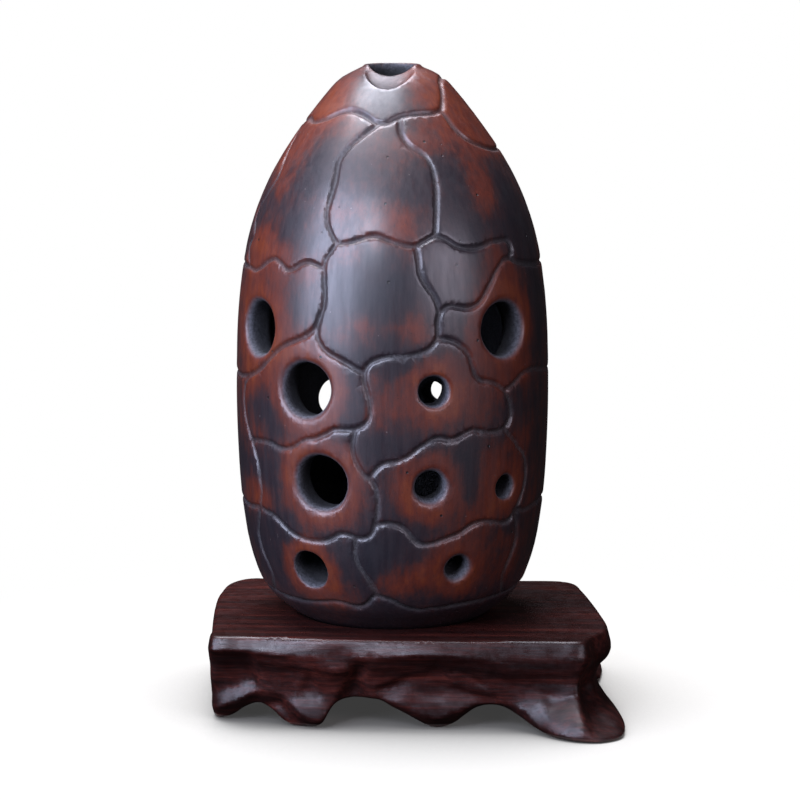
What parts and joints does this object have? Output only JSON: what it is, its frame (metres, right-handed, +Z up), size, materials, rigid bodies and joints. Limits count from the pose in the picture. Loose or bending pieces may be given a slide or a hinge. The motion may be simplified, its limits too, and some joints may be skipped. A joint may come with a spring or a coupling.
{
  "type": "xun",
  "caption": "Egg-shaped fired clay vessel flute with finger holes, a notched mouth and turtle-shell seams, standing on a low carved wooden stand.",
  "frame": {"origin": "middle of the footprint box, on the surface that the feet stand on", "axes": "+Z up along the xun; the player's side with the blowing edge and the front finger holes faces -Y; +X to the right seen from the front"},
  "size_m": [0.0916, 0.0728, 0.139],
  "materials": {
    "fired_clay": "burnished satin, mottled red-brown and grey",
    "carved_wood": "stained dark red, waxed, worn bright along the bevel"
  },
  "bodies": {
    "stand": {"stand": "carved_wood"},
    "xun": {"xun_body": "fired_clay"}
  },
  "joints": [
    {"name": "xun_lift", "type": "slide", "parent": "stand", "child": "xun", "axis": [0, 0, 1], "range_m": [0, 0.08]}
  ]
}
